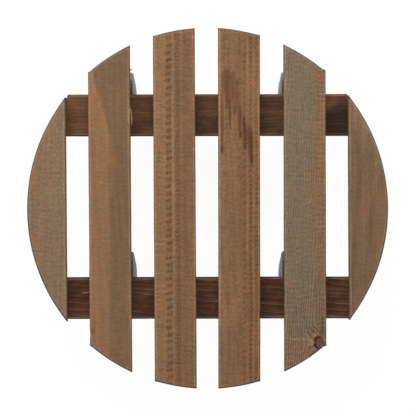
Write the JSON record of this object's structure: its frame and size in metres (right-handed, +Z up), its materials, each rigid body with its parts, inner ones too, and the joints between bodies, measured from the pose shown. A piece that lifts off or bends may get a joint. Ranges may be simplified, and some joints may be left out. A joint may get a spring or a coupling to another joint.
{
  "type": "plant caddy",
  "caption": "Round slatted wooden plant caddy on swivel castors: carries a heavy plant pot and lets it be rolled about, with gaps that drain and air the pot's base.",
  "frame": {"origin": "on the floor, under the middle of the round deck", "axes": "+Z up, +Y along the slats towards the top of the picture, +X along the battens to the picture's right"},
  "size_m": [0.3, 0.2994, 0.08],
  "materials": {
    "slat_wood": "planed, stained, dry",
    "batten_wood": "planed, dark stained, dry",
    "zinc_steel": "bright zinc plated",
    "hood_nylon": "moulded, satin black",
    "wheel_plastic": "moulded, matte grey"
  },
  "bodies": {
    "deck": {"left_end_slat": "slat_wood", "slat_1": "slat_wood", "slat_2": "slat_wood", "slat_3": "slat_wood", "slat_4": "slat_wood", "right_end_slat": "slat_wood", "front_batten": "batten_wood", "rear_batten": "batten_wood", "slat_screws": "zinc_steel", "castor_screws": "zinc_steel", "front_left_plate": "zinc_steel", "front_left_kingpin": "zinc_steel", "front_left_clip": "zinc_steel", "front_right_plate": "zinc_steel", "front_right_kingpin": "zinc_steel", "front_right_clip": "zinc_steel", "rear_left_plate": "zinc_steel", "rear_left_kingpin": "zinc_steel", "rear_left_clip": "zinc_steel", "rear_right_plate": "zinc_steel", "rear_right_kingpin": "zinc_steel", "rear_right_clip": "zinc_steel"},
    "front_left_castor": {"front_left_hood": "hood_nylon", "front_left_axle": "zinc_steel", "front_left_washer": "zinc_steel"},
    "front_left_inner_wheel": {"front_left_inner_wheel": "wheel_plastic"},
    "front_left_outer_wheel": {"front_left_outer_wheel": "wheel_plastic"},
    "front_right_castor": {"front_right_hood": "hood_nylon", "front_right_axle": "zinc_steel", "front_right_washer": "zinc_steel"},
    "front_right_inner_wheel": {"front_right_inner_wheel": "wheel_plastic"},
    "front_right_outer_wheel": {"front_right_outer_wheel": "wheel_plastic"},
    "rear_left_castor": {"rear_left_hood": "hood_nylon", "rear_left_axle": "zinc_steel", "rear_left_washer": "zinc_steel"},
    "rear_left_inner_wheel": {"rear_left_inner_wheel": "wheel_plastic"},
    "rear_left_outer_wheel": {"rear_left_outer_wheel": "wheel_plastic"},
    "rear_right_castor": {"rear_right_hood": "hood_nylon", "rear_right_axle": "zinc_steel", "rear_right_washer": "zinc_steel"},
    "rear_right_inner_wheel": {"rear_right_inner_wheel": "wheel_plastic"},
    "rear_right_outer_wheel": {"rear_right_outer_wheel": "wheel_plastic"}
  },
  "joints": [
    {"name": "front_left_swivel", "type": "hinge", "parent": "deck", "child": "front_left_castor", "pos_m": [-0.08085, -0.075, 0.046], "axis": [0, 0, 1], "continuous": true},
    {"name": "front_left_inner_wheel_spin", "type": "hinge", "parent": "front_left_castor", "child": "front_left_inner_wheel", "pos_m": [-0.08085, -0.0568, 0.02], "axis": [1, 0, 0], "continuous": true},
    {"name": "front_left_outer_wheel_spin", "type": "hinge", "parent": "front_left_castor", "child": "front_left_outer_wheel", "pos_m": [-0.08085, -0.0568, 0.02], "axis": [1, 0, 0], "continuous": true},
    {"name": "front_right_swivel", "type": "hinge", "parent": "deck", "child": "front_right_castor", "pos_m": [0.08085, -0.075, 0.046], "axis": [0, 0, 1], "continuous": true},
    {"name": "front_right_inner_wheel_spin", "type": "hinge", "parent": "front_right_castor", "child": "front_right_inner_wheel", "pos_m": [0.08085, -0.0568, 0.02], "axis": [1, 0, 0], "continuous": true},
    {"name": "front_right_outer_wheel_spin", "type": "hinge", "parent": "front_right_castor", "child": "front_right_outer_wheel", "pos_m": [0.08085, -0.0568, 0.02], "axis": [1, 0, 0], "continuous": true},
    {"name": "rear_left_swivel", "type": "hinge", "parent": "deck", "child": "rear_left_castor", "pos_m": [-0.08085, 0.078, 0.046], "axis": [0, 0, 1], "continuous": true},
    {"name": "rear_left_inner_wheel_spin", "type": "hinge", "parent": "rear_left_castor", "child": "rear_left_inner_wheel", "pos_m": [-0.08085, 0.0962, 0.02], "axis": [1, 0, 0], "continuous": true},
    {"name": "rear_left_outer_wheel_spin", "type": "hinge", "parent": "rear_left_castor", "child": "rear_left_outer_wheel", "pos_m": [-0.08085, 0.0962, 0.02], "axis": [1, 0, 0], "continuous": true},
    {"name": "rear_right_swivel", "type": "hinge", "parent": "deck", "child": "rear_right_castor", "pos_m": [0.08085, 0.078, 0.046], "axis": [0, 0, 1], "continuous": true},
    {"name": "rear_right_inner_wheel_spin", "type": "hinge", "parent": "rear_right_castor", "child": "rear_right_inner_wheel", "pos_m": [0.08085, 0.0962, 0.02], "axis": [1, 0, 0], "continuous": true},
    {"name": "rear_right_outer_wheel_spin", "type": "hinge", "parent": "rear_right_castor", "child": "rear_right_outer_wheel", "pos_m": [0.08085, 0.0962, 0.02], "axis": [1, 0, 0], "continuous": true}
  ]
}
